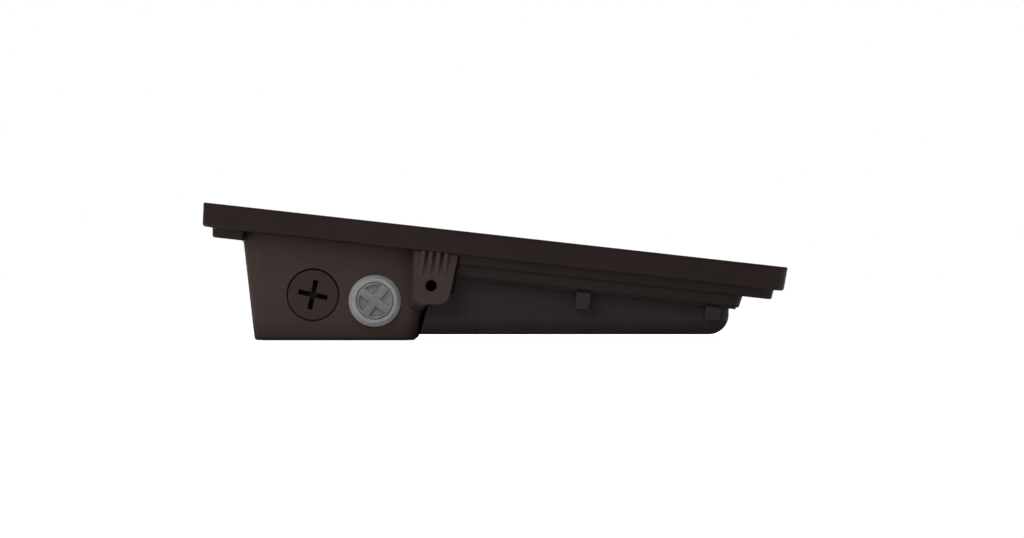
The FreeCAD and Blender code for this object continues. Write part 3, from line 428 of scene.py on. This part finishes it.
# Driver cover: a thin die casting with a rounded bottom, hooked under the seat at the box end and
# held by four pan head screws through its lugs. Its coat is a shade cooler than that of the frame.
tilt = math.radians(6.36)
plate_up = Vector((math.sin(tilt), 0, math.cos(tilt)))
cover_coat = powder_coat(
    "cover_coat",
    dark=(0.0392, 0.0294, 0.0313),
    light=(0.0527, 0.0402, 0.0435),
    rough=0.34,
    edge=0.0006,
)
dress(cover_coat, "driver_cover")
dress(seal_rubber, "driver_cover_gasket")
recessed_screws(
    "driver_cover_screws", "driver_cover_cross_screws", -plate_up, cross=0.0030, deep=0.0011
)


# Light board: an aluminium board in white solder mask, with the copper of its strings faintly
# raised under the mask. Eight rows of ten white packages with a yellow phosphor pool are soldered
# to it, and small screws hold it to the chamber floor.
def faces_up(face):
    return face.normal.z > 0.9


row_count = 8
chip_reach = 0.0055
plate_along = Vector((math.cos(tilt), 0, -math.sin(tilt)))
chip_solids = separate_solids("led_chips", chip_reach)
chip_places = [end_centre(points, -plate_up) for points in chip_solids]
chip_spans = [p.dot(plate_along) for p in chip_places]
chip_rows = [p.y for p in chip_places]
row_low = min(chip_rows)
row_pitch = (max(chip_rows) - row_low) / (row_count - 1)
board_mask, place, shader = new_finish("board_mask")
flat = place.mapped(turn=(0, -tilt, 0))
# Rows counted from far outside the board, so that every count is above zero
row_start = 20
row = flat.along((0, 1, 0)) * (1 / row_pitch) + (0.5 - row_low / row_pitch + row_start)
off_row = row.math("ABSOLUTE", row.math("FRACT", row) - 0.5)
# Half the width of a string on top and at its foot, in rows, and how far it shows in the mask
string_top = 0.05
string_foot = 0.07
string_share = 0.55
# A string runs on past its end packages and fades out between these two lengths
fade_from = 0.0036
fade_to = 0.004
span = flat.along((1, 0, 0))
begun = span.ramp(min(chip_spans) - fade_to, min(chip_spans) - fade_from)
ended = span.ramp(max(chip_spans) + fade_from, max(chip_spans) + fade_to)
trace = (1 - off_row.ramp(string_top, string_foot)) * begun * (1 - ended)
weave = place.noise(size=0.0008)
cloud = place.noise(size=0.02, detail=3.0)
mask_tone = cloud.spread().blend((0.74, 0.75, 0.73), (0.80, 0.80, 0.78))
woven = weave.bump(height=0.00002, strength=0.2)
feed(
    shader,
    Base_Color=(trace * string_share).blend(mask_tone, (0.62, 0.60, 0.54)),
    Roughness=0.32 + 0.1 * weave,
    Normal=trace.bump(height=0.00007, strength=0.5, Normal=woven),
)
dress(board_mask, "led_board")
dress(screw_steel, "led_board_screws")
dress(moulding_white, "led_connector")
package_w = 0.0035
package_h = 0.0007
lip = 0.00040
pool_deep = 0.00018
pool_narrowing = (0.86, 0.86, 1)
bpy.ops.object.select_all(action="DESELECT")
bpy.ops.mesh.primitive_cube_add(
    size=1, location=(0, 0, package_h / 2), scale=(package_w, package_w, package_h)
)
package = bpy.context.object
bpy.ops.object.transform_apply()
bpy.ops.object.mode_set(mode="EDIT")
bpy.ops.mesh.select_all(action="DESELECT")
bpy.ops.object.mode_set(mode="OBJECT")
for face in package.data.polygons:
    face.select = faces_up(face)
bpy.ops.object.mode_set(mode="EDIT")
bpy.ops.mesh.select_mode(type="FACE")
bpy.ops.mesh.inset(thickness=lip, depth=0)
bpy.ops.mesh.extrude_region_move(TRANSFORM_OT_translate={"value": (0, 0, -pool_deep)})
bpy.ops.transform.resize(value=pool_narrowing, center_override=(0, 0, 0))
bpy.ops.object.mode_set(mode="OBJECT")
package.data.materials.append(moulding_white)
phosphor, place, shader = new_finish("phosphor", Coat_Weight=0.4)
speck = place.noise(size=0.0002)
feed(
    shader,
    Base_Color=speck.spread().blend((0.78, 0.55, 0.10), (0.90, 0.72, 0.20)),
    Roughness=0.25 + 0.15 * speck,
)
package.data.materials.append(phosphor)
for face in package.data.polygons:
    # The pool's floor is the only upward face in the middle of the package
    in_middle = max(abs(face.center.x), abs(face.center.y)) < lip / 2
    face.material_index = 1 if in_middle and faces_up(face) else 0
packages = copies_at(package, chip_places, plate_up)
packages.name = "led_packages"
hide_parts("led_chips")
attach(packages, "housing")

# Reflector, lens and retainer: a glossy white moulded frame round the board, a clear polycarbonate
# lens on a rubber gasket, and a coated frame that ten flat head screws press on it.
reflector_white = moulded(
    "reflector_white", (0.80, 0.80, 0.78), (0.86, 0.86, 0.85), grain=0.001, rough=0.22
)
dress(reflector_white, "reflector")
lens_clear, place, shader = new_finish("lens_clear", Transmission_Weight=1.0, IOR=1.5)
wave = place.noise(size=0.03)
feed(
    shader,
    Base_Color=wave.spread().blend((0.93, 0.95, 0.95), (0.97, 0.98, 0.98)),
    Roughness=0.03 + 0.05 * wave,
    Normal=wave.bump(height=0.00004, strength=0.3),
)
dress(lens_clear, "lens")
dress(seal_rubber, "lens_gasket")
dress(bronze_coat, "lens_retainer")
recessed_screws(
    "lens_retainer_screws", "lens_retainer_cross_screws", plate_up, cross=0.0028, deep=0.0008
)


# Conduit plugs and photocell cap: two cast plugs with a cross slot, and a frosted moulded cap that
# lets daylight to the sensor. Each screws into a tapped wall of the box on a flat rubber seal.
def threaded(node, name, body, outward, finish):
    # The node with its plain shank cut back to the root and a right-hand thread wound round it
    root_r = 0.0093
    crest_r = 0.0102
    # Points this near to the crest's radius are on the plain shank
    shank_slack = 0.00008
    pitch = 0.001814
    turns = 4
    steps = 48
    # The ridge's foot as a share of the pitch, and its crest as a share of its foot
    foot_share = 0.86
    crest_share = 0.2
    # How deep the ridge is let into the shank, and how far from the shank's end it starts
    bite = 0.0001
    lead_in = 0.0009
    low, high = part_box(node)
    axis = Vector(((low[0] + high[0]) / 2, 0, (low[2] + high[2]) / 2))
    shank_end = high[1] if outward < 0 else low[1]

    def on_shank(point):
        return abs(math.hypot(point.x - axis.x, point.z - axis.z) - crest_r) < shank_slack

    piece = merged_copy(node, name)
    pick_points(piece, on_shank)
    shrink = root_r / crest_r
    bpy.ops.transform.resize(value=(shrink, 1, shrink), center_override=axis)
    bpy.ops.object.mode_set(mode="OBJECT")
    bpy.ops.object.select_all(action="DESELECT")
    bpy.ops.mesh.primitive_plane_add(size=1, rotation=(math.radians(90), 0, 0))
    ridge = bpy.context.object
    depth = crest_r - root_r + bite
    ridge.scale = (depth, pitch * foot_share, 1)
    ridge.location = (crest_r - depth / 2, 0, 0)
    bpy.ops.object.transform_apply()
    pick_points(ridge, lambda point: point.x > crest_r - depth / 2)
    bpy.ops.transform.resize(value=(1, 1, crest_share), center_override=(0, 0, 0))
    bpy.ops.mesh.select_all(action="SELECT")
    bpy.ops.mesh.delete(type="ONLY_FACE")
    bpy.ops.object.mode_set(mode="OBJECT")
    wind = ridge.modifiers.new("wind", "SCREW")
    wind.axis = "Z"
    wind.screw_offset = pitch
    wind.iterations = turns
    wind.steps = steps
    wind.render_steps = steps
    bpy.ops.object.modifier_apply(modifier="wind")
    bpy.ops.object.mode_set(mode="EDIT")
    weld_points()
    bpy.ops.mesh.fill_holes(sides=0)
    bpy.ops.mesh.normals_make_consistent(inside=False)
    bpy.ops.object.mode_set(mode="OBJECT")
    ridge.rotation_euler = turn_to(Vector((0, outward, 0)))
    ridge.location = (axis.x, shank_end + outward * lead_in, axis.z)
    bpy.ops.object.transform_apply()
    piece.select_set(True)
    bpy.context.view_layer.objects.active = piece
    bpy.ops.object.join()
    finish_piece(piece, finish, sharp=30)
    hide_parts(node)
    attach(piece, body)


# Painted shade: the wide reach and small depth paint the cross slot nearly black. The tones,
# lighter than the frame's, are painted light that the box wall catches.
plug_coat = powder_coat(
    "plug_coat",
    dark=(0.0510, 0.0345, 0.0306),
    light=(0.0660, 0.0456, 0.0408),
    rough=0.34,
    edge=0.0003,
    reach=0.012,
    depth=0.03,
)
threaded("near_conduit_plug", "near_threaded_plug", "near_plug", -1, plug_coat)
threaded("far_conduit_plug", "far_threaded_plug", "far_plug", 1, plug_coat)
cap_frost, place, shader = new_finish(
    "cap_frost",
    Subsurface_Weight=0.6,
    Subsurface_Radius=(0.003, 0.003, 0.003),
    Subsurface_Scale=1.0,
    IOR=1.49,
)
cap_low, cap_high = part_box("photocell_cap")
to_axis = (-(cap_low[0] + cap_high[0]) / 2, 0, -(cap_low[2] + cap_high[2]) / 2)
from_axis = place.mapped(shift=to_axis, scale=(1, 0, 1))
radius = place.make("ShaderNodeVectorMath", {"operation": "LENGTH"}, {0: from_axis}, "Value")
# The flange is paler than the disc
disc_r = 0.0080
flange_r = 0.0086
flange = radius.ramp(disc_r, flange_r)
frost = place.noise(size=0.0004)
milk = place.noise(size=0.006, detail=3.0).spread()
feed(
    shader,
    Base_Color=flange.blend(
        milk.blend((0.27, 0.27, 0.266), (0.35, 0.35, 0.345)),
        milk.blend((0.40, 0.404, 0.404), (0.47, 0.474, 0.474)),
    ),
    Roughness=0.38 + 0.12 * frost,
    Normal=frost.bump(height=0.00003, strength=0.3),
)
threaded(
    "photocell_cap", "photocell_threaded_cap", "photocell_cap", -1, cap_frost
)
dress(seal_rubber, "near_plug_seal", "far_plug_seal", "photocell_cap_seal")


# Studio: a white floor under soft boxes, and a level camera far off the near side, square to it.
# Floor and backdrop are white to the camera, as in the photograph, so hardly any shadow shows.
def in_sight(tree):
    # 1 for what is seen straight or through the lens, 0 for what only lights or mirrors
    path = tree.nodes.new("ShaderNodeLightPath")
    straight = Socket(tree, path.outputs["Is Camera Ray"])
    through = Socket(tree, path.outputs["Is Transmission Ray"])
    return straight.math("MAXIMUM", straight, through)


# The floor lies a hair below the wall plane, so that it shares no face with the light
floor_size = 60
floor_middle = (0.08, 0, -0.0003)
floor_glow = 0.95
white = (1, 1, 1, 1)
bpy.ops.object.select_all(action="DESELECT")
bpy.ops.mesh.primitive_plane_add(size=floor_size, location=floor_middle)
floor = bpy.context.object
floor.name = "floor"
floor_paint = bpy.data.materials.new("floor_paint")
floor_paint.use_nodes = True
tree = floor_paint.node_tree
tree.nodes.clear()
out = tree.nodes.new("ShaderNodeOutputMaterial")
seen = in_sight(tree)
matt = seen.make("ShaderNodeBsdfDiffuse", {}, {"Color": (0.8, 0.8, 0.8, 1)})
glow = seen.make("ShaderNodeEmission", {}, {"Color": white, "Strength": floor_glow})
lit = seen.make("ShaderNodeAddShader", {}, {0: matt, 1: glow})
both = seen.make("ShaderNodeMixShader", {}, {0: seen, 1: matt, 2: lit})
tree.links.new(both.socket, out.inputs["Surface"])
floor.data.materials.append(floor_paint)

scene.view_settings.view_transform = "Standard"
world_fill = 0.07
world = bpy.data.worlds.new("studio")
scene.world = world
world.use_nodes = True
tree = world.node_tree
backdrop = tree.nodes["Background"]
backdrop.inputs["Color"].default_value = white
feed(backdrop, Strength=world_fill + (1 - world_fill) * in_sight(tree))


def soft_box(name, place, aim, width, height, power, mirrored):
    # mirrored says whether the box shows in reflections, which only the one overhead does
    light = bpy.data.lights.new(name, "AREA")
    light.shape = "RECTANGLE"
    light.size = width
    light.size_y = height
    light.energy = power
    lamp = bpy.data.objects.new(name, light)
    lamp.location = place
    lamp.rotation_euler = (Vector(aim) - Vector(place)).to_track_quat("-Z", "Y").to_euler()
    lamp.visible_camera = False
    lamp.visible_glossy = mirrored
    scene.collection.objects.link(lamp)


middle = (0.07, 0.0, 0.03)
thick_end = (-0.02, -0.1, 0.03)
thin_end = (0.15, -0.1, 0.03)
soft_box("top_box", (0.07, 0.45, 1.4), middle, 2.0, 1.4, power=11, mirrored=True)
soft_box("back_box", (0.07, 1.0, 0.55), middle, 0.6, 0.4, power=2.6, mirrored=False)
soft_box("left_box", (-0.22, -0.42, 0.32), thick_end, 0.45, 0.45, power=1.25, mirrored=False)
soft_box("right_box", (0.46, -0.26, 0.34), thin_end, 0.4, 0.4, power=0.5, mirrored=False)

near_side = cad_box[0][1]
view_x = 0.0799
view_z = 0.0322
view_width = 0.4608
distance = 6.0
eye = bpy.data.cameras.new("camera")
eye.sensor_width = 36
eye.lens = eye.sensor_width * distance / view_width
camera = bpy.data.objects.new("camera", eye)
camera.location = (view_x, near_side - distance, view_z)
camera.rotation_euler = (math.radians(90), 0, 0)
scene.collection.objects.link(camera)
scene.camera = camera
